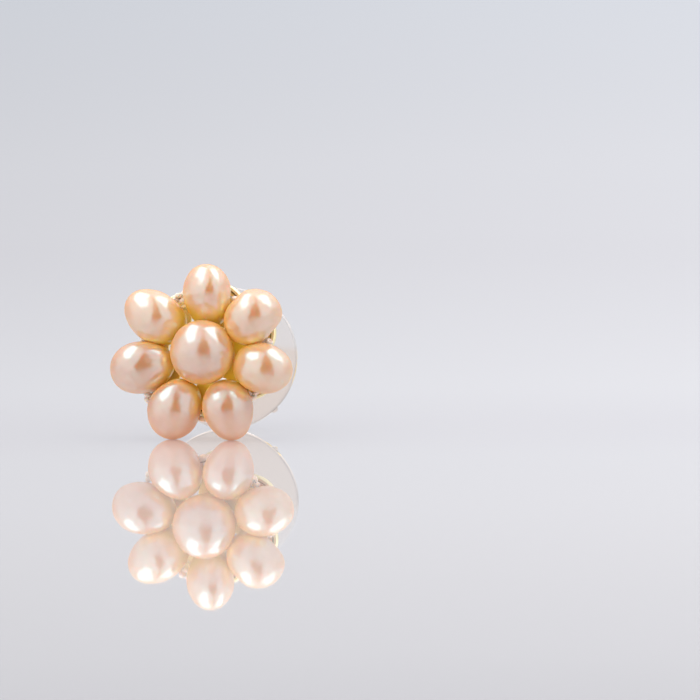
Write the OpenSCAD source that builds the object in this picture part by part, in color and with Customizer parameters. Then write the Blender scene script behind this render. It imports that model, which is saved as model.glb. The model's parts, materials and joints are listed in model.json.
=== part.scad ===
// Pearl flower ear stud. A round centre pearl and seven egg-shaped petal pearls sit on a pierced,
// seven-lobed gilt plate. An ear post is soldered behind the plate, and a clear disc clutch is pushed
// on the post. The stud stands on its two lowest petals and on the edge of the clutch, leaning back.
// All sizes are in millimetres. The face looks along -Y, +X is to its right and +Z is up. The origin is
// on the surface that it stands on, under the middle of its bounding box.

/* [Stance] */
// How far the flower leans back, in degrees
lean = 8.8; // [8:0.1:9]

/* [Pearls] */
// Radius of the round centre pearl
centre_r = 2.44; // [2.2:0.02:2.44]
// Gap between a pearl and the metal that it rests on
seat_gap = 0.05; // [0.02:0.01:0.1]
// Radius of the hole drilled through a pearl for the beading line
drill_r = 0.25; // [0.15:0.05:0.35]
// Distance of that hole from a petal's widest section, outwards
drill_out = 0.5; // [0.4:0.05:0.6]

/* [Plate] */
// Radius of the plate between its lobes
plate_r = 4.75; // [4.6:0.05:4.8]
// Radius of the circle that the lobes' centres lie on
lobe_ring = 3.43; // [3.35:0.01:3.5]
// Radius of one lobe
lobe_r = 2.06; // [2:0.02:2.1]
// Direction of the first lobe, in degrees from the flower's right
lobe_phase = 28.6; // [20:0.2:36]
// Thickness of the plate at its rim
plate_t = 0.5; // [0.45:0.05:0.6]
// Width of the raised rim
rim_w = 0.34; // [0.3:0.02:0.4]
// Height of the rim above the floor beside it
rim_h = 0.24; // [0.2:0.02:0.26]
// Bevel of the rim's edges
rim_bevel = 0.1; // [0.06:0.01:0.12]
// How far the top of the domed floor lies below the rim
dome_drop = 0.04; // [0.02:0.01:0.08]
// Radius of the circle that the large piercings lie on
pierce_ring = 2.7; // [2.6:0.05:2.8]
// Radius of a large piercing
pierce_r = 0.75; // [0.6:0.05:0.8]
// Direction of the first large piercing, in degrees
pierce_phase = 50; // [45:1:55]
// Radius of the circle that the small piercings lie on
stitch_ring = 4.5; // [4.3:0.05:4.6]
// Radius of a small piercing, one in each lobe
stitch_r = 0.25; // [0.2:0.05:0.3]

/* [Post] */
// Radius of the ear post
post_r = 0.4; // [0.35:0.01:0.45]
// Length of the post behind the plate
post_l = 11; // [10.5:0.5:12]
// Length of the free end of the post, as far as the groove round it
free_l = 2.5; // [2:0.1:2.6]
// Width of that groove
groove_w = 0.6; // [0.55:0.05:0.65]
// Depth of the groove
groove_d = 0.1; // [0.05:0.01:0.12]
// Radius of the solder fillet round the foot of the post
solder_r = 0.75; // [0.6:0.05:0.9]
// Height of the solder fillet
solder_h = 0.3; // [0.2:0.05:0.4]

/* [Clutch] */
// Radius of the clear disc
disc_r = 5.5; // [5.48:0.01:5.52]
// Thickness of the clear disc
disc_t = 0.5; // [0.4:0.05:0.6]
// Radius of the disc's rounded edges
disc_round = 0.12; // [0.08:0.01:0.15]
// Radius of the hub where it meets the disc
hub_r = 1.7; // [1.4:0.1:2]
// Radius of the hub at its free end
hub_end_r = 1.25; // [1.1:0.05:1.4]
// Length of the hub behind the disc
hub_l = 2.4; // [2:0.1:3]
// Radius of the hub's rounded free edge
hub_round = 0.3; // [0.2:0.05:0.4]
// Radial clearance between the post and the bore of the clutch
post_fit = 0.03; // [0.02:0.01:0.05]
// Depth of the lead-in at the front of the bore
lead_in = 0.2; // [0.1:0.05:0.3]
// Radius of the moulding gate's nub on the edge of the disc
nub_r = 0.3; // [0.2:0.05:0.35]
// Direction of the nub, in degrees
nub_angle = -46; // [-60:1:-30]
// How far the nub stands out of the disc's edge
nub_out = 0.2; // [0.1:0.05:0.25]

/* [Hidden] */
$fn = 72;
// Sides of the whole circles of which only a short arc is used
FINE = 360;
DOME_FINE = 3600;
// Number of lobes of the plate, each with its small piercing, and of large piercings
LOBES = 7;
PIERCINGS = 6;
// Extra length that makes a cut go right through
CUT = 1;

// Petals, clockwise from the top as seen from the front, one row each: direction of the petal's widest
// section from the middle of the flower, its distance, the half lengths of the pearl outwards and
// inwards of it, the half width there, and the twist of the long axis away from that direction
ANGLE = 0;
RING = 1;
OUTER = 2;
INNER = 3;
WIDTH = 4;
TWIST = 5;
PETALS = [
    [  89.0, 4.60, 2.20, 2.13, 1.88,   1],
    [  35.7, 4.74, 2.28, 2.15, 2.01,  -8],
    [ -14.2, 4.78, 2.32, 2.26, 1.86,   2],
    [ -63.5, 4.57, 2.52, 1.92, 1.86, -14],
    [-115.6, 5.02, 2.15, 2.56, 1.93,   2],
    [-166.0, 5.28, 2.20, 2.72, 1.91,   0],
    [ 146.0, 4.62, 2.70, 2.03, 1.89,   0]
];
// The petal that sets how high the flower stands, and the other lower one, whose distance follows from it
FIRST_FOOT = 4;
SECOND_FOOT = 3;

// The directions of +X and +Z, in the flower's own axes
TO_RIGHT = [1, 0, 0];
TO_TOP = [0, cos(lean), sin(lean)];

// Heights along the flower's front direction. Zero is the middle of a petal of the middle size
rim_z = -1.95;
plate_back_z = rim_z - plate_t;
floor_z = rim_z - rim_h;
dome_z = rim_z - dome_drop;
dome_r = plate_r - 2 * rim_w;
dome_h = dome_z - floor_z;
dome_ball_r = (dome_r * dome_r + dome_h * dome_h) / (2 * dome_h);
centre_z = dome_z + seat_gap + centre_r;
post_tip_z = plate_back_z - post_l;
// How far the post runs into the plate, and the hub into the disc
post_sunk = plate_t / 4;
hub_sunk = disc_t / 2;

// Radii of the two arcs that make the outline of half an egg: half width w, length l
function tip_r(w, l) = let (c = norm([w, l])) c / l * (c - l + w) / 2;
function side_r(w, l) = let (c = norm([w, l])) c / w * (c + l - w) / 2;

// How far half an egg reaches from its widest section in a direction, whose share along the axis is s
function half_egg_reach(w, l, s) =
    let (across = sqrt(1 - s * s), tip = tip_r(w, l), side = side_r(w, l))
    s * (side - w) < across * (l - tip) ? side + (w - side) * across : tip + (l - tip) * s;

// The same for a petal, which way round it lies
function petal_axis(i) =
    let (a = PETALS[i][ANGLE] + PETALS[i][TWIST]) [cos(a), sin(a), 0];
function egg_reach(i, to) =
    let (along = petal_axis(i) * to, half = along > 0 ? PETALS[i][OUTER] : PETALS[i][INNER])
    half_egg_reach(PETALS[i][WIDTH], half, abs(along));

// Height of the flower's middle above the surface, from the petal that it stands on
function petal_z(i) = rim_z + seat_gap + PETALS[i][WIDTH];
function foot_drop(i) = egg_reach(i, -TO_TOP) - petal_z(i) * sin(lean);
stand_h = foot_drop(FIRST_FOOT) - PETALS[FIRST_FOOT][RING] * sin(PETALS[FIRST_FOOT][ANGLE]) * cos(lean);

// Middle of a petal's widest section
function petal_ring(i) = i == SECOND_FOOT
    ? (stand_h - foot_drop(i)) / (-sin(PETALS[i][ANGLE]) * cos(lean))
    : PETALS[i][RING];
function petal_at(i) =
    let (a = PETALS[i][ANGLE], r = petal_ring(i)) [r * cos(a), r * sin(a), petal_z(i)];
function petals_reach(to) = max([for (i = [0 : len(PETALS) - 1]) petal_at(i) * to + egg_reach(i, to)]);

// Place of the clutch on the post: its lower edge touches the surface too
disc_back_z = -disc_round - (stand_h - disc_round - (disc_r - disc_round) * cos(lean)) / sin(lean);
disc_front_z = disc_back_z + disc_t;
hub_end_z = disc_back_z - hub_l;
bore_r = post_r + post_fit;

// Shift that brings the middle of the bounding box over the origin
side_shift = (petals_reach(-TO_RIGHT) - petals_reach(TO_RIGHT)) / 2;
front_reach = centre_z * cos(lean) + centre_r;
back_reach = -(post_tip_z + post_r) * cos(lean) + post_r;
depth_shift = (front_reach - back_reach) / 2;

// Puts what is drawn in the flower's own axes in its place: x stays, y runs up the flower, z to its front
module on_flower() {
    translate([side_shift, depth_shift, stand_h])
        rotate([90 - lean, 0, 0])
            children();
}

// Profile of a disc with rounded edges, from its axis outwards, standing on y = 0
module rounded_profile(r, t, edge) {
    square([r - edge, t]);
    translate([0, edge])
        square([r, t - 2 * edge]);
    for (y = [edge, t - edge])
        translate([r - edge, y])
            circle(r = edge);
}

module rounded_disc(r, t, edge) {
    rotate_extrude()
        rounded_profile(r, t, edge);
}

// Profile of half an egg, on the right of its axis: half width w, length l from the widest section up to
// the tip. A side arc and a tip arc meet smoothly where their two centres are in line
module half_egg_profile(w, l) {
    tip = tip_r(w, l);
    side = side_r(w, l);
    join = (l - tip) * side / (side - tip);
    intersection() {
        translate([w - side, 0])
            circle(r = side, $fn = FINE);
        square([w, join]);
    }
    intersection() {
        translate([0, l - tip])
            circle(r = tip);
        translate([0, join])
            square([w, l - join]);
    }
}

// An egg round the z axis, widest at z = 0: half width w, half lengths up and down
module egg(w, up, down) {
    rotate_extrude() {
        half_egg_profile(w, up);
        mirror([0, 1])
            half_egg_profile(w, down);
    }
}

// Outline of the plate, drawn in by inset
module lobed_outline(inset) {
    circle(r = plate_r - inset);
    for (i = [0 : LOBES - 1])
        rotate(lobe_phase + i * 360 / LOBES)
            translate([lobe_ring, 0])
                circle(r = lobe_r - inset);
}

// A disc with bevelled edges
module bevelled_disc(r, t, bevel) {
    rotate_extrude()
        polygon([[0, 0], [r - bevel, 0], [r, bevel], [r, t - bevel], [r - bevel, t], [0, t]]);
}

// The plate before it is hollowed: bevelled discs side by side
module plate_blank() {
    translate([0, 0, plate_back_z]) {
        bevelled_disc(plate_r, plate_t, rim_bevel);
        for (i = [0 : LOBES - 1])
            rotate(lobe_phase + i * 360 / LOBES)
                translate([lobe_ring, 0, 0])
                    bevelled_disc(lobe_r, plate_t, rim_bevel);
    }
}

// The low dome in the middle of the floor, down to the plate's back
module dome() {
    rotate_extrude()
        intersection() {
            translate([0, dome_z - dome_ball_r])
                circle(r = dome_ball_r, $fn = DOME_FINE);
            translate([0, plate_back_z])
                square([plate_r, plate_t]);
        }
}

// What is taken out inside the rim: it leaves a floor that rises to the dome
module plate_recess() {
    difference() {
        translate([0, 0, floor_z])
            linear_extrude(rim_h + CUT)
                lobed_outline(rim_w);
        dome();
    }
}

// One ring of round holes through the plate
module holes(count, phase, ring, r) {
    for (i = [0 : count - 1])
        rotate(phase + i * 360 / count)
            translate([ring, 0, plate_back_z - CUT])
                cylinder(r = r, h = plate_t + 2 * CUT);
}

module piercings() {
    holes(PIERCINGS, pierce_phase, pierce_ring, pierce_r);
    holes(LOBES, lobe_phase, stitch_ring, stitch_r);
}

// Profile of the ear post, from its axis outwards: the round tip at y = 0, the shallow V groove that
// marks off its free end, and the solder fillet, which runs a little way into the plate
module post_profile() {
    post_top = post_l + post_sunk;
    polygon([[0, post_r], [post_r, post_r], [post_r, free_l], [post_r - groove_d, free_l + groove_w / 2],
             [post_r, free_l + groove_w], [post_r, post_l - solder_h], [solder_r, post_l],
             [solder_r, post_top], [0, post_top]]);
    intersection() {
        translate([0, post_r])
            circle(r = post_r);
        square([post_r, post_r]);
    }
}

module post() {
    translate([0, 0, post_tip_z])
        rotate_extrude()
            post_profile();
}

module setting() {
    color("goldenrod")
        on_flower() {
            difference() {
                plate_blank();
                plate_recess();
                piercings();
            }
            post();
        }
}

// The centre pearl, drilled from top to bottom
module pearl_centre() {
    color("peachpuff")
        on_flower()
            translate([0, 0, centre_z])
                difference() {
                    sphere(r = centre_r);
                    translate([0, centre_r + CUT, 0])
                        rotate([90, 0, 0])
                            cylinder(r = drill_r, h = 2 * (centre_r + CUT));
                }
}

// One petal pearl: an egg with its long axis in the plane of the flower, drilled across that axis
module petal(i) {
    w = PETALS[i][WIDTH];
    color("peachpuff")
        on_flower()
            translate(petal_at(i))
                rotate(PETALS[i][ANGLE] + PETALS[i][TWIST])
                    rotate([0, 90, 0])
                        difference() {
                            egg(w, PETALS[i][OUTER], PETALS[i][INNER]);
                            translate([0, w + CUT, drill_out])
                                rotate([90, 0, 0])
                                    cylinder(r = drill_r, h = 2 * (w + CUT));
                        }
}

// Profile of the hub, from its axis outwards: a cone with a rounded free edge, which is at y = 0
module hub_profile() {
    hub_top = hub_l + hub_sunk;
    polygon([[0, 0], [hub_end_r - hub_round, 0], [hub_end_r, hub_round], [hub_r, hub_l], [hub_r, hub_top],
             [0, hub_top]]);
    translate([hub_end_r - hub_round, hub_round])
        circle(r = hub_round);
}

module clutch() {
    color("whitesmoke", 0.5)
        on_flower()
            difference() {
                union() {
                    translate([0, 0, disc_back_z])
                        rounded_disc(disc_r, disc_t, disc_round);
                    translate([0, 0, hub_end_z])
                        rotate_extrude()
                            hub_profile();
                    rotate(nub_angle)
                        translate([disc_r + nub_out - nub_r, 0, disc_back_z + disc_round])
                            cylinder(r = nub_r, h = disc_t - 2 * disc_round);
                }
                translate([0, 0, hub_end_z - CUT])
                    cylinder(r = bore_r, h = hub_l + disc_t + 2 * CUT);
                translate([0, 0, disc_front_z - lead_in])
                    cylinder(r1 = bore_r, r2 = bore_r + lead_in, h = lead_in);
            }
}

setting();
pearl_centre();
petal(0);  // petal_1
petal(1);  // petal_2
petal(2);  // petal_3
petal(3);  // petal_4
petal(4);  // petal_5
petal(5);  // petal_6
petal(6);  // petal_7
clutch();
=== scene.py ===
import json
import math
import random

import bmesh
import bpy
from mathutils import Matrix, Vector, noise


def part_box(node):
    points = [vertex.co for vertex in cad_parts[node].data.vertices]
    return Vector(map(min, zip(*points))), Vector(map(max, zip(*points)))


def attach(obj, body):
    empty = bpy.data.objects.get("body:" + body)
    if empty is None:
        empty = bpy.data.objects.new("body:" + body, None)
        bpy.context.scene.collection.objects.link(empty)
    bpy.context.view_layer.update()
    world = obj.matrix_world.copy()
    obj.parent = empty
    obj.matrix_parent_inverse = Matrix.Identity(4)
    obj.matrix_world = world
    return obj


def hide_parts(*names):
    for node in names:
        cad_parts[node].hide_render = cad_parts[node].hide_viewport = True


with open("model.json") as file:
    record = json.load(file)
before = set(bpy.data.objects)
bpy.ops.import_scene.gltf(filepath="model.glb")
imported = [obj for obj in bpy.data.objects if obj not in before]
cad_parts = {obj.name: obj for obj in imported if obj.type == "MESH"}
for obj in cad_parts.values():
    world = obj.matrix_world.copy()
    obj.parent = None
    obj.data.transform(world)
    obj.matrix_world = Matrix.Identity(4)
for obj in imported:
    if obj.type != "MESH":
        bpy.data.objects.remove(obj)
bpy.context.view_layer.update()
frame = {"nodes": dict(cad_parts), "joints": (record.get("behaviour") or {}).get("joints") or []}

MM = 0.001
SEED = 11

# The plate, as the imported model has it: a disc with lobes round it, a rim, and holes for the stitches
PLATE_R = 4.75
PLATE_BACK_Z = -2.45
LOBES = 7
LOBE_PHASE = 28.6
LOBE_RING = 3.43
LOBE_R = 2.06
RIM_Z = -1.95
RIM_W = 0.34
RIM_H = 0.24
STITCH_RING = 4.5

# The centre pearl, the gap between a petal and the rim, and how far outwards a petal is drilled
CENTRE_R = 2.44
CENTRE_Z = 0.50
SEAT_GAP = 0.05
DRILL_OUT = 0.5

# Petals, clockwise from the top as seen from the front: direction of the widest section from the
# flower's middle, its distance, the half lengths outwards and inwards, the half width there, and the
# twist of the long axis away from that direction
PETALS = [
    dict(angle=89.0, ring=4.60, outer=2.20, inner=2.13, width=1.88, twist=1),
    dict(angle=35.7, ring=4.74, outer=2.28, inner=2.15, width=2.01, twist=-8),
    dict(angle=-14.2, ring=4.78, outer=2.32, inner=2.26, width=1.86, twist=2),
    dict(angle=-63.5, ring=4.63, outer=2.52, inner=1.92, width=1.86, twist=-14),
    dict(angle=-115.6, ring=5.02, outer=2.15, inner=2.56, width=1.93, twist=2),
    dict(angle=-166.0, ring=5.28, outer=2.20, inner=2.72, width=1.91, twist=0),
    dict(angle=146.0, ring=4.62, outer=2.70, inner=2.03, width=1.89, twist=0),
]

# How much fuller the real pearls are than the plain solids: more half width, more length outwards and
# inwards, and the move to the right and up
FULLER = {
    "pearl_centre": dict(width=0.02, outer=0.0, inner=0.0, x=0.01, y=-0.02),
    "petal_1": dict(width=0.0, outer=-0.03, inner=0.50, x=0.0, y=0.0),
    "petal_2": dict(width=0.09, outer=-0.02, inner=0.30, x=0.0, y=0.02),
    "petal_3": dict(width=0.08, outer=0.02, inner=0.14, x=0.0, y=0.05),
    "petal_4": dict(width=0.07, outer=0.0, inner=0.20, x=-0.07, y=0.0),
    "petal_5": dict(width=0.06, outer=0.0, inner=0.06, x=-0.06, y=-0.03),
    "petal_6": dict(width=0.08, outer=0.0, inner=0.10, x=0.0, y=0.05),
    "petal_7": dict(width=0.08, outer=0.0, inner=0.34, x=0.0, y=0.02),
}

# How a pearl's face leans: how far its inner end hangs lower, and how much the face rises to the right
# and up
FACES = {
    "pearl_centre": dict(hang=0.0, right=0.03, up=0.05),
    "petal_1": dict(hang=0.9, right=0.14, up=0.06),
    "petal_2": dict(hang=0.5, right=0.0, up=0.0),
    "petal_3": dict(hang=0.3, right=0.0, up=0.0),
    "petal_4": dict(hang=0.4, right=-0.09, up=0.06),
    "petal_5": dict(hang=0.3, right=0.0, up=0.12),
    "petal_6": dict(hang=0.2, right=0.0, up=0.08),
    "petal_7": dict(hang=0.7, right=0.0, up=0.0),
}

# Where a pearl's outline is fuller or flatter than that: the direction of the place from the pearl's
# middle, how far it spreads in degrees, and how far it stands out
BULGES = [
    dict(pearl="petal_1", way=-50, spread=30, out=0.12),
    dict(pearl="petal_1", way=-20, spread=20, out=-0.05),
    dict(pearl="petal_2", way=-36, spread=30, out=-0.28),
    dict(pearl="petal_2", way=136, spread=24, out=-0.15),
    dict(pearl="petal_2", way=-135, spread=28, out=0.08),
    dict(pearl="petal_4", way=125, spread=35, out=0.10),
    dict(pearl="petal_5", way=150, spread=40, out=0.08),
    dict(pearl="petal_5", way=60, spread=35, out=0.04),
    dict(pearl="petal_6", way=-50, spread=22, out=0.10),
]

# Dents in the nacre, seen from the front: the pearl, the place across and up from the middle of its
# widest section, the dent's radius and its depth
DENTS = [
    dict(pearl="petal_7", x=1.05, y=-0.75, r=0.55, depth=0.035),
    dict(pearl="petal_7", x=-0.85, y=-1.35, r=0.30, depth=0.03),
    dict(pearl="petal_2", x=1.35, y=0.25, r=0.22, depth=0.02),
    dict(pearl="petal_2", x=0.25, y=-1.35, r=0.40, depth=0.03),
    dict(pearl="petal_2", x=-1.25, y=-0.75, r=0.35, depth=0.03),
    dict(pearl="petal_6", x=1.45, y=0.55, r=0.55, depth=0.04),
    dict(pearl="petal_6", x=-0.3, y=-1.35, r=0.35, depth=0.03),
    dict(pearl="petal_1", x=0.0, y=-1.45, r=0.45, depth=0.03),
    dict(pearl="petal_4", x=1.25, y=0.6, r=0.35, depth=0.015),
    dict(pearl="petal_5", x=0.75, y=1.35, r=0.45, depth=0.012),
    dict(pearl="petal_3", x=0.95, y=-0.85, r=0.25, depth=0.02),
    dict(pearl="pearl_centre", x=1.95, y=-0.2, r=0.22, depth=0.03),
    dict(pearl="pearl_centre", x=-1.35, y=-1.65, r=0.25, depth=0.03),
    dict(pearl="pearl_centre", x=0.55, y=-1.95, r=0.3, depth=0.025),
]

# The flower's axes in the frame; the clutch slides away behind it
TO_BACK = Vector(frame["joints"][0]["axis"]).normalized()
TO_FRONT = -TO_BACK
TO_RIGHT = Vector((1, 0, 0))
TO_TOP = TO_FRONT.cross(TO_RIGHT)
TO_SKY = Vector((0, 0, 1))


def flower_matrix():
    """Takes millimetres in the flower's axes to metres in the frame."""
    low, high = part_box("pearl_centre")
    origin = (low + high) / 2 - TO_FRONT * CENTRE_Z * MM
    turn = Matrix((TO_RIGHT, TO_TOP, TO_FRONT)).transposed().to_4x4()
    return Matrix.Translation(origin) @ turn @ Matrix.Scale(MM, 4)


FLOWER = flower_matrix()


def polar(angle, radius, z=0.0):
    """A point in the flower's axes, from its direction in degrees, its distance and its height."""
    a = math.radians(angle)
    return Vector((radius * math.cos(a), radius * math.sin(a), z))


def at_height(point, z):
    """The same place at another height."""
    return Vector((point.x, point.y, z))


def smooth_step(low, high, value):
    """0 up to low, 1 from high on, and a smooth step between them."""
    t = min(max((value - low) / (high - low), 0.0), 1.0)
    return t * t * (3 - 2 * t)


def new_object(name, data):
    """An object in the scene."""
    thing = bpy.data.objects.new(name, data)
    bpy.context.scene.collection.objects.link(thing)
    return thing


def new_piece(name, bm, material):
    """Makes a piece of the object from a mesh in the flower's axes."""
    mesh = bpy.data.meshes.new(name)
    bm.to_mesh(mesh)
    bm.free()
    mesh.transform(FLOWER)
    mesh.shade_smooth()
    piece = new_object(name, mesh)
    mesh.materials.append(material)
    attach(piece, "stud")
    return piece


# Nodes of the materials

def feed(tree, socket, value):
    """Gives a socket its value: the output of another node, or a plain one."""
    if isinstance(value, bpy.types.NodeSocket):
        tree.links.new(value, socket)
    else:
        socket.default_value = value


def set_sockets(shader, values):
    """Sets what is the same all over a surface, by the names of the shader's sockets."""
    for name, value in values.items():
        shader.inputs[name].default_value = value


def noise_node(tree, vector, scale, detail, roughness=0.5):
    """Soft noise from 0 to 1; its scale is in noise cells a millimetre."""
    node = tree.nodes.new("ShaderNodeTexNoise")
    set_sockets(node, {"Scale": scale, "Detail": detail, "Roughness": roughness})
    tree.links.new(vector, node.inputs["Vector"])
    return node.outputs["Fac"]


def ramp_node(tree, factor, stops):
    """A colour ramp; stops are (position, colour) pairs."""
    node = tree.nodes.new("ShaderNodeValToRGB")
    ramp = node.color_ramp
    while len(ramp.elements) < len(stops):
        ramp.elements.new(0.5)
    for element, (position, colour) in zip(ramp.elements, stops):
        element.position = position
        element.color = (*colour, 1)
    tree.links.new(factor, node.inputs["Fac"])
    return node.outputs["Color"]


def range_node(tree, value, first, last, low=0.0, high=1.0, kind="LINEAR"):
    """Maps a value from low..high to first..last, and keeps it there beyond."""
    node = tree.nodes.new("ShaderNodeMapRange")
    node.interpolation_type = kind
    set_sockets(node, {"From Min": low, "From Max": high, "To Min": first, "To Max": last})
    tree.links.new(value, node.inputs["Value"])
    return node.outputs["Result"]


def math_node(tree, operation, first, second):
    """A sum or the like of two numbers, each from a node or plain."""
    node = tree.nodes.new("ShaderNodeMath")
    node.operation = operation
    feed(tree, node.inputs[0], first)
    feed(tree, node.inputs[1], second)
    return node.outputs["Value"]


def vector_node(tree, operation, first, second):
    """What an operation makes of a node's vector and a plain one: a number or a vector."""
    node = tree.nodes.new("ShaderNodeVectorMath")
    node.operation = operation
    feed(tree, node.inputs[0], first)
    feed(tree, node.inputs[1], second)
    return node.outputs["Value" if operation in ("DISTANCE", "DOT_PRODUCT") else "Vector"]


def scale_node(tree, vector, factor):
    """A vector or a colour times a number."""
    node = tree.nodes.new("ShaderNodeVectorMath")
    node.operation = "SCALE"
    feed(tree, node.inputs[0], vector)
    feed(tree, node.inputs["Scale"], factor)
    return node.outputs["Vector"]


def mix_node(tree, blend, factor, first, second):
    """Two colours put together as the blend says, by a factor."""
    node = tree.nodes.new("ShaderNodeMix")
    node.data_type = "RGBA"
    node.blend_type = blend
    for name, value in (("Factor", factor), ("A", first), ("B", second)):
        feed(tree, node.inputs[name], value)
    return node.outputs["Result"]


def new_material(name):
    """A material with its node tree, its shader and its texture coordinates in millimetres."""
    material = bpy.data.materials.new(name)
    material.use_nodes = True
    tree = material.node_tree
    coords = tree.nodes.new("ShaderNodeTexCoord")
    at = scale_node(tree, coords.outputs["Object"], 1 / MM)
    return material, tree, tree.nodes["Principled BSDF"], at


def own_place(tree, at):
    """A point's place in the flower's axes: its height, and a flat vector from the flower's middle."""
    origin = FLOWER @ Vector((0, 0, 0)) / MM
    own = vector_node(tree, "SUBTRACT", at, origin)
    flat = tree.nodes.new("ShaderNodeCombineXYZ")
    tree.links.new(vector_node(tree, "DOT_PRODUCT", own, TO_RIGHT), flat.inputs["X"])
    tree.links.new(vector_node(tree, "DOT_PRODUCT", own, TO_TOP), flat.inputs["Y"])
    return vector_node(tree, "DOT_PRODUCT", own, TO_FRONT), flat.outputs["Vector"]


def cloudy(tree, at, tones, scale, detail, spread=(0.3, 0.7)):
    """A colour that wanders between two tones, which are pure below and above the spread."""
    clouds = noise_node(tree, at, scale, detail)
    return ramp_node(tree, clouds, list(zip(spread, tones)))


def uneven_roughness(tree, shader, at, low, high, **grain):
    """A roughness that wanders between two values."""
    wear = noise_node(tree, at, **grain)
    tree.links.new(range_node(tree, wear, low, high), shader.inputs["Roughness"])


def relief(tree, shader, height, strength, depth):
    """Slight unevenness of the surface; its depth is in millimetres."""
    node = tree.nodes.new("ShaderNodeBump")
    set_sockets(node, {"Strength": strength, "Distance": depth * MM})
    tree.links.new(height, node.inputs["Height"])
    tree.links.new(node.outputs["Normal"], shader.inputs["Normal"])


# Materials

# Deep and light tones of the nacre, and the pearls that have the rosier ones
PEACH = [(0.86, 0.46, 0.22), (0.90, 0.53, 0.28)]
ROSE = [(0.78, 0.40, 0.21), (0.84, 0.475, 0.26)]
ROSY = {"petal_4", "petal_5", "petal_6", "pearl_centre"}

# Painted gold light thrown back from the plate: the nacre close to the plate is tinted gold by it; its
# share of each colour, the heights and the distances from the flower's middle over which it fades
PLATE_LIGHT_TINT = (0.98, 1.12, 0.30)
PLATE_LIGHT_UP = (0.0, 1.1)
PLATE_LIGHT_OUT = (3.2, 5.0)


def nacre(node):
    """Peach nacre: cloudy colour, a broad inner lustre under a glossy skin, fine growth marks, and
    painted gold light from the plate close to it.
    """
    material, tree, shader, at = new_material("nacre_" + node)
    clouds = cloudy(tree, at, ROSE if node in ROSY else PEACH, scale=0.55, detail=3)
    height, flat = own_place(tree, at)
    low = range_node(tree, height, 1.0, 0.0, *PLATE_LIGHT_UP, "SMOOTHSTEP")
    reach = vector_node(tree, "DISTANCE", flat, (0, 0, 0))
    near = range_node(tree, reach, 1.0, 0.0, *PLATE_LIGHT_OUT, "SMOOTHSTEP")
    # Painted light: the nacre turns gold low down and near the flower's middle, as if lit from the plate
    plate_lit = mix_node(tree, "MULTIPLY", math_node(tree, "MULTIPLY", low, near), clouds, (*PLATE_LIGHT_TINT, 1))
    tree.links.new(plate_lit, shader.inputs["Base Color"])
    set_sockets(shader, {
        "Sheen Weight": 0.45,
        "Sheen Roughness": 0.35,
        "Sheen Tint": (1.0, 0.55, 0.20, 1),
        "IOR": 3.8,
        "Specular Tint": (0.40, 0.81, 0.94, 1),
        "Subsurface Weight": 1.0,
        "Subsurface Radius": (1.0, 0.55, 0.25),
        "Subsurface Scale": 2.4 * MM,
    })
    uneven_roughness(tree, shader, at, 0.18, 0.24, scale=2.2, detail=4)
    grain = noise_node(tree, at, scale=9.0, detail=5, roughness=0.6)
    relief(tree, shader, grain, strength=0.08, depth=0.01)
    return material


# The gilt plate's deep and light gold
GOLD = [(0.96, 0.76, 0.26), (1.0, 0.82, 0.33)]

# The corner inside the plate's rim, as from_outline() counts, and how far to both sides of it the
# painted shade in the corner and the painted highlight on the rim run; they are given by their places in
# that span, from 0 inside to 1 outside
CORNER = LOBE_R - RIM_W
CORNER_SPAN = 0.5
PLAIN = (1, 1, 1)
PAINTED_SHADE_COLOUR = (0.16, 0.09, 0.05)
CORNER_PAINTED_SHADE = [(0.37, PLAIN), (0.42, PAINTED_SHADE_COLOUR), (0.51, PAINTED_SHADE_COLOUR), (0.55, PLAIN)]
RIM_PAINTED_HIGHLIGHT = [(0.52, (0, 0, 0)), (0.60, (0.0, 0.08, 0.22))]

# Heights over which the painted shade and the painted highlight set in, above the plate's plain back
TRAY_UP = (PLATE_BACK_Z + 0.06, PLATE_BACK_Z + 0.12)


def from_outline(tree, flat):
    """How far out a point lies on the plate, counted so that it is LOBE_R all along the outline."""
    nearest = vector_node(tree, "DISTANCE", flat, (0, 0, 0))
    nearest = math_node(tree, "SUBTRACT", nearest, PLATE_R - LOBE_R)
    for i in range(LOBES):
        lobe = polar(LOBE_PHASE + i * 360 / LOBES, LOBE_RING)
        nearest = math_node(tree, "MINIMUM", nearest, vector_node(tree, "DISTANCE", flat, lobe))
    return nearest


def gilt():
    """Polished gilt brass, with a painted highlight on the rim and painted shade in the corner inside
    it.
    """
    material, tree, shader, at = new_material("gilt")
    height, flat = own_place(tree, at)
    out = from_outline(tree, flat)
    place = range_node(tree, out, 0.0, 1.0, CORNER - CORNER_SPAN, CORNER + CORNER_SPAN)
    floor = cloudy(tree, at, GOLD, scale=0.8, detail=3, spread=(0.25, 0.75))
    in_front = range_node(tree, height, 0.0, 1.0, *TRAY_UP)
    # Painted shade darkens the corner inside the rim, and a painted highlight makes the rim paler
    with_painted_shade = mix_node(tree, "MULTIPLY", in_front, floor, ramp_node(tree, place, CORNER_PAINTED_SHADE))
    with_painted_highlight = mix_node(tree, "ADD", in_front, with_painted_shade, ramp_node(tree, place, RIM_PAINTED_HIGHLIGHT))
    tree.links.new(with_painted_highlight, shader.inputs["Base Color"])
    set_sockets(shader, {"Metallic": 1.0})
    uneven_roughness(tree, shader, at, 0.34, 0.48, scale=3.5, detail=5, roughness=0.65)
    grain = noise_node(tree, at, scale=14.0, detail=6, roughness=0.7)
    relief(tree, shader, grain, strength=0.08, depth=0.01)
    return material


# Heights on the clutch above the table between which its plastic turns from a painted shadow of the
# flower, warmed by painted light from the pearls, to clear; how far the flow marks move them, and the
# tints by their places between them
CLUTCH_SHADOW_UP = (5.9, 7.5)
CLUTCH_SHADOW_WANDER = 0.6
CLUTCH_SHADOW_TINTS = [(0.3, (0.97, 0.875, 0.80)), (0.6, (0.992, 0.96, 0.935))]


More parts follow.
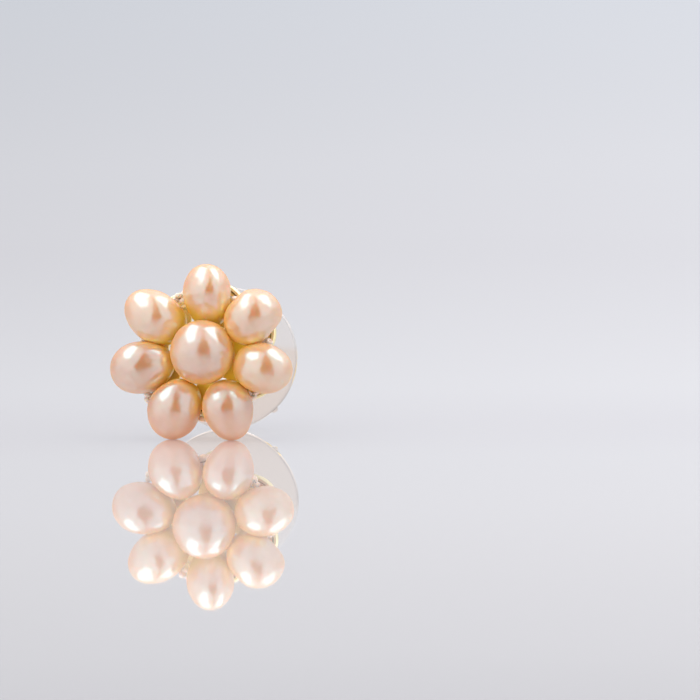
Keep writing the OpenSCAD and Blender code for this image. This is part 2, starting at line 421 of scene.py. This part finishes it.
def clear_plastic():
    """Clear moulded plastic with a slight haze and flow marks; its lower half is darker and warmer, a
    painted shadow of the flower with painted light from the pearls.
    """
    material, tree, shader, at = new_material("clear_plastic")
    flow = noise_node(tree, at, scale=0.35, detail=2)
    height = vector_node(tree, "DOT_PRODUCT", at, TO_SKY)
    height = math_node(tree, "ADD", height, math_node(tree, "MULTIPLY", flow, CLUTCH_SHADOW_WANDER))
    # Painted shadow and painted pink light on the clutch's lower half
    tint = ramp_node(tree, range_node(tree, height, 0.0, 1.0, *CLUTCH_SHADOW_UP), CLUTCH_SHADOW_TINTS)
    tree.links.new(tint, shader.inputs["Base Color"])
    set_sockets(shader, {"Transmission Weight": 0.95, "IOR": 1.18})
    uneven_roughness(tree, shader, at, 0.06, 0.16, scale=1.6, detail=3)
    relief(tree, shader, flow, strength=0.15, depth=0.02)
    return material


BEAD_TONES = [(0.98, 0.79, 0.69), (0.99, 0.87, 0.80)]
LINE_TONES = [(0.90, 0.84, 0.78), (0.97, 0.94, 0.90)]


def seed_bead():
    """Tiny translucent seed beads, pale pink."""
    material, tree, shader, at = new_material("seed_bead")
    tree.links.new(cloudy(tree, at, BEAD_TONES, scale=2.5, detail=2), shader.inputs["Base Color"])
    set_sockets(shader, {
        "Subsurface Weight": 0.4,
        "Subsurface Radius": (1.0, 0.6, 0.4),
        "Subsurface Scale": 0.12 * MM,
        "IOR": 1.35,
    })
    uneven_roughness(tree, shader, at, 0.28, 0.42, scale=6.0, detail=3)
    return material


def clear_line():
    """Clear nylon beading line."""
    material, tree, shader, at = new_material("clear_line")
    tree.links.new(cloudy(tree, at, LINE_TONES, scale=3.0, detail=2), shader.inputs["Base Color"])
    set_sockets(shader, {"Transmission Weight": 0.7, "IOR": 1.5})
    uneven_roughness(tree, shader, at, 0.08, 0.2, scale=8.0, detail=3)
    return material


# Pearls

# Cuts across each side of the cube that a pearl's mesh is made from
GRID = 36
# The drilled hole: its radius, the depth of its funnel, and the shares of the radius over which it fades
HOLE_R = 0.17
HOLE_DEPTH = 0.06
HOLE_FADE = (0.4, 1.2)
# Shares of a dent's radius over which it fades
DENT_FADE = (0.2, 1.3)
# Low lumps and fine ones: how close they are, how high, the share of their height by which the low ones
# are sunk on the whole, and how far out both may stand
LUMP_SCALE = 1.3
LUMP_HEIGHT = 0.05
LUMP_SINK = 0.35
FINE_SCALE = 4
FINE_HEIGHT = 0.012
LUMP_LIMIT = 0.02
# How far the noise of the lumps moves on from one pearl to the next
LUMP_STEP = (7.3, 3.1, 5.7)
# Heights in a pearl over which the lean of its face sets in
LEAN_UP = (-0.6, 0.9)
# The least share of a direction that has to lie flat for the outline's bulges to count there
FLAT_LEAST = 0.01
# Height above the table up to which a pearl merges into its solid
FOOT_CLEAR = 1.8


def egg_reach(width, length, along, across):
    """Distance from the widest section's middle to the egg, in a direction along and across its axis."""
    chord = math.hypot(width, length)
    tip = chord / length * (chord - length + width) / 2
    side = chord / width * (chord + length - width) / 2
    off = width - side
    reach = across * off + math.sqrt((across * off) ** 2 + side ** 2 - off ** 2)
    if reach * along > (length - tip) * side / (side - tip):
        off = length - tip
        reach = along * off + math.sqrt((along * off) ** 2 + tip ** 2 - off ** 2)
    return reach


def quad_sphere():
    """A unit sphere of even quads, with no poles."""
    bm = bmesh.new()
    bmesh.ops.create_cube(bm, size=2)
    bmesh.ops.subdivide_edges(bm, edges=bm.edges[:], cuts=GRID, use_grid_fill=True)
    for vertex in bm.verts:
        warped = Vector([math.tan(c * math.pi / 4) for c in vertex.co])
        vertex.co = warped.normalized()
    return bm


def lumps(normal, offset):
    """How far the nacre's lumps stand out at a place, or lie sunk if below 0."""
    low = noise.noise(normal * LUMP_SCALE + offset) - LUMP_SINK
    fine = noise.noise(normal * FINE_SCALE + offset)
    return min(LUMP_HEIGHT * low + FINE_HEIGHT * fine, LUMP_LIMIT)


def bulging(rows, normal):
    """How much further out the outline is in a direction."""
    flat = at_height(normal, 0)
    if flat.length <= FLAT_LEAST:
        return 0.0
    total = 0.0
    for row in rows:
        off = math.degrees(flat.angle(polar(row["way"], 1))) / row["spread"]
        total += row["out"] * math.exp(-off * off) * flat.length_squared
    return total


def denting(rows, body):
    """How deep the dents in the front are at a place."""
    if body.z <= 0:
        return 0.0
    total = 0.0
    for row in rows:
        off = at_height(body, 0) - Vector((row["x"], row["y"], 0))
        total += row["depth"] * (1 - smooth_step(*DENT_FADE, off.length / row["r"]))
    return total


def funnel(from_drill, drill_to):
    """How a place moves inwards, along the drilled hole, because of the funnel at its end."""
    along = from_drill.dot(drill_to)
    off_axis = (from_drill - drill_to * along).length
    depth = HOLE_DEPTH * (1 - smooth_step(*HOLE_FADE, off_axis / HOLE_R))
    return drill_to * depth * math.copysign(1, along)


def pearl_piece(node, middle, turn, reach, drill, seed):
    """One pearl, in place of its node: a smooth body with low lumps, dents and a drilled hole."""
    moved = Vector((FULLER[node]["x"], FULLER[node]["y"], 0))
    face = FACES[node]
    bulges = [row for row in BULGES if row["pearl"] == node]
    dents = [row for row in DENTS if row["pearl"] == node]
    offset = Vector([seed * step for step in LUMP_STEP])
    drill_at, drill_to = drill
    bm = quad_sphere()
    for vertex in bm.verts:
        direction = vertex.co.copy()
        along = direction.x
        across = math.hypot(direction.y, direction.z)
        body = turn @ (direction * reach(along, across, 0))
        full = turn @ (direction * reach(along, across, 1)) + moved
        full.z -= face["hang"] * max(-along, 0) ** 2
        rise = face["right"] * full.x + face["up"] * full.y
        full.z += rise * smooth_step(*LEAN_UP, body.z)
        normal = body.normalized()
        out = lumps(normal, offset) + bulging(bulges, normal) - denting(dents, body)
        point = full + normal * out - funnel(body - drill_at, drill_to)
        height = (FLOWER @ (middle + point)).z / MM
        vertex.co = middle + body.lerp(point, smooth_step(0.0, FOOT_CLEAR, height))
    piece = new_piece(node + "_nacre", bm, nacre(node))
    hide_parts(node)


def centre_reach(along, across, share):
    """The centre pearl's radius: the solid's at share 0, the fuller one's at share 1."""
    return CENTRE_R + share * FULLER["pearl_centre"]["width"]


def petal_reach(petal, more):
    """A function like centre_reach() for a petal."""
    def reach(along, across, share):
        end = "outer" if along > 0 else "inner"
        width = petal["width"] + share * more["width"]
        return egg_reach(width, petal[end] + share * more[end], abs(along), across)
    return reach


def build_pearls():
    """The centre pearl, drilled upright, and the petals, drilled across their long axes."""
    upright = (Vector((0, 0, 0)), Vector((0, 1, 0)))
    pearl_piece("pearl_centre", Vector((0, 0, CENTRE_Z)), Matrix.Identity(3), centre_reach, upright, 0)
    for number, petal in enumerate(PETALS, 1):
        node = f"petal_{number}"
        middle = polar(petal["angle"], petal["ring"], RIM_Z + SEAT_GAP + petal["width"])
        heading = petal["angle"] + petal["twist"]
        axis = polar(heading, 1)
        turn = Matrix.Rotation(math.radians(heading), 3, "Z")
        drill = (axis * DRILL_OUT, Vector((-axis.y, axis.x, 0)))
        pearl_piece(node, middle, turn, petal_reach(petal, FULLER[node]), drill, number)


# Seed beads and beading line

# Points round a bead's hole and round its wall
BEAD_SIDES = 14
BEAD_RINGS = 10
# Shares of a bead's radius between which half its wall and half its height lie
BEAD_WALL = (0.47, 0.495)
BEAD_TALL = (0.60, 0.76)
# How uneven a bead is: the share of its radius, the waves round it, and their turn by its radius
BEAD_SWELL = 0.06
BEAD_WAVES = 3
BEAD_PHASE = 90
# How far a bead's axis leans away at most from the way to it
BEAD_LEAN = 0.5

LINE_R = 0.07
LINE_SIDES = 8
LINE_STEPS = 6
# Heights above the plate's floor of the line on its way to a stitch, and where it goes down there
LINE_LOW = 0.185
LINE_DOWN = 0.02
# How far the stitches lie behind the plate, how far up their ends reach from there, and the share of the
# way to the next stitch on which they rise
STITCH_DROP = 0.09
STITCH_RISE = 0.12
STITCH_TURN = 0.08
# Where the line ends inside a petal, in shares of its half width: above the rim, and aside
ANCHOR_UP = 0.5
ANCHOR_ASIDE = 0.6

# Seed beads in the gaps between the petals, clockwise from the gap after the first petal: the gap, the
# way to the bead in degrees, its distance from the middle, its height and its radius
SEED_BEADS = [
    dict(gap=1, way=63.5, out=4.65, z=-1.0, r=0.29),
    dict(gap=1, way=59.5, out=4.6, z=-1.1, r=0.28),
    dict(gap=1, way=62, out=4.15, z=-1.25, r=0.28),
    dict(gap=2, way=10.5, out=4.92, z=-0.95, r=0.33),
    dict(gap=2, way=10.5, out=4.54, z=-1.0, r=0.33),
    dict(gap=2, way=14.5, out=4.6, z=-1.2, r=0.28),
    dict(gap=3, way=-44.5, out=4.95, z=-1.0, r=0.30),
    dict(gap=3, way=-43, out=4.55, z=-1.0, r=0.32),
    dict(gap=3, way=-37.2, out=4.85, z=-1.15, r=0.27),
    dict(gap=3, way=-41.5, out=4.9, z=-1.4, r=0.28),
    dict(gap=3, way=-44.5, out=4.12, z=-1.2, r=0.26),
    dict(gap=4, way=-92.5, out=5.0, z=-1.05, r=0.33),
    dict(gap=4, way=-88.3, out=5.0, z=-1.1, r=0.31),
    dict(gap=4, way=-90, out=4.45, z=-1.15, r=0.28),
    dict(gap=4, way=-90.6, out=4.02, z=-1.3, r=0.2),
    dict(gap=5, way=-144.7, out=5.6, z=-1.0, r=0.34),
    dict(gap=5, way=-141.6, out=5.8, z=-1.0, r=0.34),
    dict(gap=5, way=-142.5, out=5.3, z=-1.45, r=0.30),
    dict(gap=5, way=-142.5, out=5.0, z=-1.1, r=0.30),
    dict(gap=5, way=-137.5, out=5.1, z=-1.2, r=0.28),
    dict(gap=6, way=169.2, out=5.19, z=-1.0, r=0.33),
    dict(gap=6, way=164.3, out=5.0, z=-1.4, r=0.29),
    dict(gap=6, way=170, out=4.6, z=-1.15, r=0.28),
    dict(gap=7, way=118, out=5.0, z=-1.0, r=0.32),
    dict(gap=7, way=112.5, out=5.0, z=-1.1, r=0.30),
    dict(gap=7, way=123, out=4.85, z=-1.2, r=0.29),
    dict(gap=7, way=117.5, out=4.5, z=-1.1, r=0.30),
    dict(gap=7, way=119, out=4.1, z=-1.3, r=0.26),
]


def add_bead(bm, middle, axis, radius):
    """A seed bead: a short thick-walled ring, a little uneven."""
    axis = axis.normalized()
    aside = axis.orthogonal().normalized()
    other = axis.cross(aside)
    wall = radius * random.uniform(*BEAD_WALL)
    tall = radius * random.uniform(*BEAD_TALL)
    rings = []
    for i in range(BEAD_SIDES):
        a = math.tau * i / BEAD_SIDES
        out = aside * math.cos(a) + other * math.sin(a)
        swell = 1 + BEAD_SWELL * math.sin(BEAD_WAVES * a + radius * BEAD_PHASE)
        ring = []
        for j in range(BEAD_RINGS):
            b = math.tau * j / BEAD_RINGS
            across = (radius - wall + wall * math.cos(b)) * swell
            ring.append(bm.verts.new(middle + out * across + axis * tall * math.sin(b)))
        rings.append(ring)
    for i in range(BEAD_SIDES):
        here, there = rings[i], rings[(i + 1) % BEAD_SIDES]
        for j in range(BEAD_RINGS):
            k = (j + 1) % BEAD_RINGS
            bm.faces.new((here[j], there[j], there[k], here[k]))


def smooth_path(points):
    """More points on a smooth curve through the given ones."""
    path = []
    for i in range(len(points) - 1):
        before = points[max(i - 1, 0)]
        start, end = points[i], points[i + 1]
        after = points[min(i + 2, len(points) - 1)]
        for step in range(LINE_STEPS):
            t = step / LINE_STEPS
            path.append(0.5 * (
                2 * start + (end - before) * t + (2 * before - 5 * start + 4 * end - after) * t ** 2
                + (3 * start - before - 3 * end + after) * t ** 3
            ))
    path.append(points[-1])
    return path


def add_line(bm, points):
    """A length of beading line through points, with closed ends."""
    path = smooth_path(points)
    aside = (path[1] - path[0]).orthogonal().normalized()
    rings = []
    for i, point in enumerate(path):
        along = (path[min(i + 1, len(path) - 1)] - path[max(i - 1, 0)]).normalized()
        aside = (aside - along * aside.dot(along)).normalized()
        other = along.cross(aside)
        rings.append([
            bm.verts.new(point + LINE_R * (aside * math.cos(a) + other * math.sin(a)))
            for a in (math.tau * k / LINE_SIDES for k in range(LINE_SIDES))
        ])
    for here, there in zip(rings, rings[1:]):
        for k in range(LINE_SIDES):
            m = (k + 1) % LINE_SIDES
            bm.faces.new((here[k], here[m], there[m], there[k]))
    bm.faces.new(reversed(rings[0]))
    bm.faces.new(rings[-1])


def inside_petal(petal, side):
    """A place in a petal's lower half where the line ends: side 1 is anticlockwise, -1 clockwise."""
    width = petal["width"]
    axis = polar(petal["angle"] + petal["twist"], 1)
    across = Vector((-axis.y, axis.x, 0))
    low = polar(petal["angle"], petal["ring"], RIM_Z + width * ANCHOR_UP)
    return low + across * side * width * ANCHOR_ASIDE


def build_beading():
    """The seed beads in each gap, the line through them and down to a stitch, and the stitches."""
    beads = bmesh.new()
    line = bmesh.new()
    stitches = [polar(LOBE_PHASE + i * 360 / LOBES, STITCH_RING) for i in range(LOBES)]
    floor = RIM_Z - RIM_H
    back = PLATE_BACK_Z - STITCH_DROP
    for i in range(LOBES):
        cluster = [row for row in SEED_BEADS if row["gap"] == i + 1]
        for row in cluster:
            lean = Vector([random.uniform(-BEAD_LEAN, BEAD_LEAN) for _ in range(3)])
            place = polar(row["way"], row["out"], row["z"])
            add_bead(beads, place, polar(row["way"], 1) + lean, row["r"])
        places = [polar(row["way"], row["out"], row["z"]) for row in cluster]
        start = inside_petal(PETALS[i], -1)
        end = inside_petal(PETALS[(i + 1) % LOBES], 1)
        add_line(line, [start, places[0], places[1], end])
        outer = at_height(places[0], 0)
        stitch = min(stitches, key=lambda s: (s - outer).length)
        low = at_height(places[-1].lerp(stitch, 0.5), floor + LINE_LOW)
        down = at_height(stitch, floor + LINE_DOWN)
        add_line(line, [places[-1], low, down, at_height(stitch, back)])
    for start, end in zip(stitches, stitches[1:]):
        add_line(line, [
            at_height(start, back + STITCH_RISE),
            at_height(start.lerp(end, STITCH_TURN), back),
            at_height(start.lerp(end, 1 - STITCH_TURN), back),
            at_height(end, back + STITCH_RISE),
        ])
    new_piece("seed_beads", beads, seed_bead())
    new_piece("beading_line", line, clear_line())


# Table and lights

# The table's side, in metres
TABLE_SIDE = 12.0
# How far from the flower the flat lights stand
LIGHT_AWAY = 450

# Flat lights round the flower: two soft boxes, the dark opening of the white tent that the camera looks
# in by, and the dim seam that runs on from its top over the flower. The corners are as seen from the
# flower: degrees round from the front to the right, and degrees up
TENT_LIGHTS = [
    dict(
        name="softbox_left", colour=(1.0, 0.94, 0.91), strength=3.4,
        corners=[(-88, 40), (-43, 31), (-20, 47), (-100, 76), (-150, 72), (-140, 46)],
    ),
    dict(
        name="softbox_right", colour=(1.0, 0.94, 0.91), strength=3.4,
        corners=[(165, 80), (160, 46), (124, 46), (96, 28), (71, 48), (70, 66)],
    ),
    dict(
        name="tent_opening", colour=(0.6, 0.6, 0.62), strength=0.02,
        corners=[(-6, -5), (43, -5), (26, 68)],
    ),
    dict(
        name="tent_seam", colour=(1.0, 0.98, 0.97), strength=0.3,
        corners=[(16, 68), (38, 68), (90, 83), (-173, 81), (-144, 80), (-90, 88)],
    ),
]

# The white tent's brightness by the sine of the elevation, behind the flower and in front of it
TENT_BACK = [
    (0.00, (0.505, 0.525, 0.57)),
    (0.05, (0.53, 0.535, 0.57)),
    (0.072, (0.505, 0.505, 0.54)),
    (0.105, (0.54, 0.545, 0.58)),
    (0.115, (0.50, 0.50, 0.54)),
    (0.121, (0.51, 0.515, 0.55)),
    (0.146, (0.465, 0.465, 0.495)),
    (0.168, (0.410, 0.410, 0.440)),
    (0.180, (0.355, 0.355, 0.385)),
    (0.30, (0.80, 0.80, 0.83)),
    (0.70, (0.86, 0.86, 0.88)),
    (1.00, (0.86, 0.86, 0.88)),
]
TENT_FRONT = [
    (0.00, (0.97, 0.99, 1.00)),
    (0.70, (0.92, 0.93, 0.95)),
    (1.00, (0.86, 0.86, 0.88)),
]
TENT_STRENGTH = 1.3
# The tent behind is darker to the left: two places from left to right, and the share of its brightness
TENT_SIDE = [(-0.42, 0.79), (-0.04, 1.11)]
# How far in front of the flower and behind it the front's brightness turns into the back's
TENT_TURN = (-0.3, 0.3)

# Round glows that the camera doesn't see, each to one side: the light that comes through the pearls
# towards the plate and back from it, and the light that comes back up from the table under the flower
PLATE_GLOW = (0.26, 0.20, 0.02)
PEARL_GLOW = (0.80, 0.56, 0.07)
GLOW_Z = -0.9
GLOW_R = 4.4
TABLE_GLOW = (0.40, 0.17, 0.02)
TABLE_GLOW_R = 7.0
TABLE_GLOW_UP = 0.05

# Small lights in the creases between the pearls: a ring of them round the centre pearl, and a row
# between each two petals; the energy of one is in watts
CREASE_GLOW = (1.0, 0.76, 0.14)
CREASE_ENERGY = 1.35e-6
CREASE_R = 0.06
CREASE_RING = 2.64
CREASE_RING_Z = 1.1
CREASE_RING_STEPS = 36
CREASE_WAYS = [62.0, 10.8, -38.9, -89.5, -140.8, 170.0, 117.5]
CREASE_OUT = (3.1, 5.0)
CREASE_OUT_STEPS = 5
CREASE_Z = 0.95


def direction(azimuth, elevation):
    """A direction in the frame: degrees round from the front to the right, and degrees up."""
    a = math.radians(azimuth)
    e = math.radians(elevation)
    return Vector((math.sin(a) * math.cos(e), -math.cos(a) * math.cos(e), math.sin(e)))


def flat_stage(name, corners, material):
    """One flat face of any outline round the object, which isn't part of it."""
    mesh = bpy.data.meshes.new(name)
    mesh.from_pydata(corners, [], [range(len(corners))])
    mesh.materials.append(material)
    face = new_object(name, mesh)
    return face


def emitter(name, colour, strength, corners):
    """A flat light of any outline round the flower, which the camera doesn't see."""
    material = bpy.data.materials.new(name)
    material.use_nodes = True
    tree = material.node_tree
    tree.nodes.clear()
    source = tree.nodes.new("ShaderNodeEmission")
    set_sockets(source, {"Color": (*colour, 1), "Strength": strength})
    out = tree.nodes.new("ShaderNodeOutputMaterial")
    tree.links.new(source.outputs["Emission"], out.inputs["Surface"])
    middle = FLOWER @ Vector((0, 0, 0))
    places = [middle + direction(*corner) * LIGHT_AWAY * MM for corner in corners]
    light = flat_stage(name, places, material)
    light.visible_camera = False


def glow(name, place, way, radius, colour, mirrored):
    """A round light at a place in the frame that shines one way, as bright as its colour says."""
    strength = max(colour)
    area = math.pi * (radius * MM) ** 2
    data = bpy.data.lights.new(name, "AREA")
    data.shape = "DISK"
    data.size = 2 * radius * MM
    data.color = [c / strength for c in colour]
    data.energy = strength * math.pi * area
    light = new_object(name, data)
    light.matrix_world = Matrix.Translation(place) @ way.to_track_quat("-Z", "Y").to_matrix().to_4x4()
    light.visible_camera = False
    light.visible_glossy = mirrored


def build_table():
    """A white glossy sheet that glows faintly, for the bright surface that the stud stands on."""
    material = bpy.data.materials.new("white_acrylic")
    material.use_nodes = True
    set_sockets(material.node_tree.nodes["Principled BSDF"], {
        "Base Color": (0.42, 0.42, 0.435, 1),
        "Emission Color": (0.96, 0.97, 1.0, 1),
        "Emission Strength": 0.24,
        "Roughness": 0.02,
        "IOR": 1.5,
        "Coat Weight": 1.0,
        "Coat Roughness": 0.02,
        "Coat IOR": 1.5,
    })
    half = TABLE_SIDE / 2
    corners = [(-half, -half, 0), (half, -half, 0), (half, half, 0), (-half, half, 0)]
    flat_stage("table", corners, material)


def build_tent():
    """The white tent all round, and its flat lights."""
    world = bpy.data.worlds.new("white_tent")
    world.use_nodes = True
    tree = world.node_tree
    coords = tree.nodes.new("ShaderNodeTexCoord")
    way = tree.nodes.new("ShaderNodeSeparateXYZ")
    tree.links.new(coords.outputs["Generated"], way.inputs["Vector"])
    (left, dark), (right, bright) = TENT_SIDE
    side = range_node(tree, way.outputs["X"], dark, bright, left, right)
    back = scale_node(tree, ramp_node(tree, way.outputs["Z"], TENT_BACK), side)
    front = ramp_node(tree, way.outputs["Z"], TENT_FRONT)
    behind = range_node(tree, way.outputs["Y"], 0.0, 1.0, *TENT_TURN)
    background = tree.nodes["Background"]
    tree.links.new(mix_node(tree, "MIX", behind, front, back), background.inputs["Color"])
    set_sockets(background, {"Strength": TENT_STRENGTH})
    bpy.context.scene.world = world
    for light in TENT_LIGHTS:
        emitter(**light)


def build_glows():
    """The light that the pearls pass on, and the light from the table."""
    low = FLOWER @ Vector((0, 0, GLOW_Z))
    glow("plate_glow", low, TO_BACK, GLOW_R, PLATE_GLOW, True)
    glow("pearl_glow", low, TO_FRONT, GLOW_R, PEARL_GLOW, False)
    foot = at_height(FLOWER @ Vector((0, -PLATE_R, 0)), TABLE_GLOW_UP * MM)
    glow("table_glow", foot, TO_SKY, TABLE_GLOW_R, TABLE_GLOW, False)


def build_creases():
    """The small lights in the creases, all alike."""
    places = []
    for i in range(CREASE_RING_STEPS):
        places.append(polar(i * 360 / CREASE_RING_STEPS, CREASE_RING, CREASE_RING_Z))
    near, far = CREASE_OUT
    for way in CREASE_WAYS:
        for step in range(CREASE_OUT_STEPS):
            reach = near + (far - near) * step / (CREASE_OUT_STEPS - 1)
            places.append(polar(way, reach, CREASE_Z))
    data = bpy.data.lights.new("crease_glow", "POINT")
    data.shadow_soft_size = CREASE_R * MM
    data.color = CREASE_GLOW
    data.energy = CREASE_ENERGY
    for place in places:
        light = new_object("crease_glow", data)
        light.location = FLOWER @ place
        light.visible_camera = False
        light.visible_glossy = False


# Camera fitted to the photograph: its place, the way it looks and its turn about that line in degrees,
# its lens and sensor in millimetres, and in metres the distances between which it sees
CAMERA_AT = Vector((81.53, -306.66, 36.68)) * MM
CAMERA_AZIMUTH = 13.058
CAMERA_DOWN = 5.49
CAMERA_ROLL = 0.51
CAMERA_LENS = 212.0
SENSOR = 36.0
CLIP_START = 0.01
CLIP_END = 50


def build_camera():
    """The camera at the photograph's viewing angle."""
    data = bpy.data.cameras.new("camera")
    data.lens = CAMERA_LENS
    data.sensor_width = SENSOR
    data.clip_start = CLIP_START
    data.clip_end = CLIP_END
    camera = new_object("camera", data)
    back = direction(CAMERA_AZIMUTH, CAMERA_DOWN)
    right = TO_SKY.cross(back).normalized()
    up = back.cross(right)
    roll = math.radians(CAMERA_ROLL)
    rolled_right = right * math.cos(roll) - up * math.sin(roll)
    rolled_up = right * math.sin(roll) + up * math.cos(roll)
    turn = Matrix((rolled_right, rolled_up, back)).transposed().to_4x4()
    camera.matrix_world = Matrix.Translation(CAMERA_AT) @ turn
    bpy.context.scene.camera = camera


def dress_node(node, material):
    """Gives its finish to a CAD node that shows as it is."""
    materials = frame["nodes"][node].data.materials
    materials.clear()
    materials.append(material)


random.seed(SEED)
build_camera()
build_table()
build_tent()
build_glows()
build_creases()
build_pearls()
build_beading()
dress_node("setting", gilt())
dress_node("clutch", clear_plastic())
bpy.context.scene.view_settings.view_transform = "Standard"
